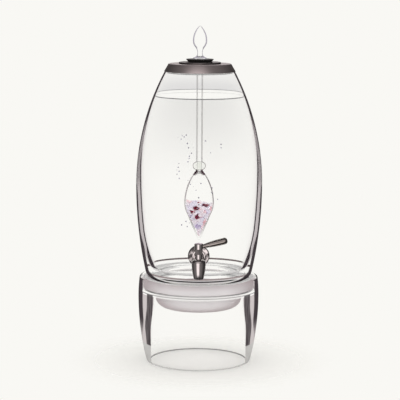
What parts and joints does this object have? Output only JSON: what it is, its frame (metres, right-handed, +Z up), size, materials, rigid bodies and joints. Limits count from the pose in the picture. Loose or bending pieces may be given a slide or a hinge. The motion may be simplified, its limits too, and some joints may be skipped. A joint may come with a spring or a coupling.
{
  "type": "water dispenser",
  "caption": "Barrel-shaped glass drinks jar with a lever tap on a hollow glass stand, under a steel lid that carries a glass vial filled with quartz chips.",
  "frame": {"origin": "on the jar's axis at the table, in the plane of the stand's flat foot", "axes": "+Z up along the jar's axis, -Y towards the tap, +X the side where the closed lever points"},
  "size_m": [0.2202, 0.2547, 0.5892],
  "materials": {
    "clear_glass": "clear, fire polished",
    "satin_glass": "satin frosted",
    "clear_silicone": "clear, soft sheen",
    "black_silicone": "matt black",
    "brushed_steel": "brushed round the axis",
    "polished_steel": "polished",
    "rose_quartz": "broken and tumbled, translucent",
    "amethyst": "broken and tumbled, translucent",
    "clear_quartz": "broken and tumbled, translucent",
    "garnet": "broken and tumbled, dark"
  },
  "bodies": {
    "stand": {"stand": "clear_glass", "cradle_seal": "clear_silicone"},
    "cradle": {"cradle": "satin_glass", "jar_ring": "clear_silicone"},
    "jar": {"jar": "clear_glass", "outer_gasket": "clear_silicone", "rosette": "polished_steel", "tap_body": "polished_steel", "packing_nut": "polished_steel", "inner_gasket": "clear_silicone", "shank_washer": "polished_steel", "shank_nut": "polished_steel"},
    "valve": {"valve_plug": "polished_steel", "plug_rings": "black_silicone", "tap_cap": "polished_steel", "cap_screw": "polished_steel", "tap_lever": "polished_steel"},
    "lid": {"lid_shell": "brushed_steel", "lid_collar": "brushed_steel", "lid_seal": "clear_silicone"},
    "vial": {"holder_flange": "brushed_steel", "vial_stopper": "black_silicone", "vial": "clear_glass", "finial": "clear_glass", "rose_quartz": "rose_quartz", "amethyst": "amethyst", "clear_quartz": "clear_quartz", "garnet": "garnet"}
  },
  "joints": [
    {"name": "cradle_lift", "type": "slide", "parent": "stand", "child": "cradle", "axis": [0, 0, 1], "range_m": [0, 0.065]},
    {"name": "jar_lift", "type": "slide", "parent": "cradle", "child": "jar", "axis": [0, 0, 1], "range_m": [0, 0.08]},
    {"name": "tap_turn", "type": "hinge", "parent": "jar", "child": "valve", "pos_m": [0, -0.13273, 0.2045], "axis": [0, 0, -1], "range_deg": [0, 90]},
    {"name": "lid_lift", "type": "slide", "parent": "jar", "child": "lid", "axis": [0, 0, 1], "range_m": [0, 0.06]},
    {"name": "vial_lift", "type": "slide", "parent": "lid", "child": "vial", "axis": [0, 0, 1], "range_m": [0, 0.33]}
  ]
}
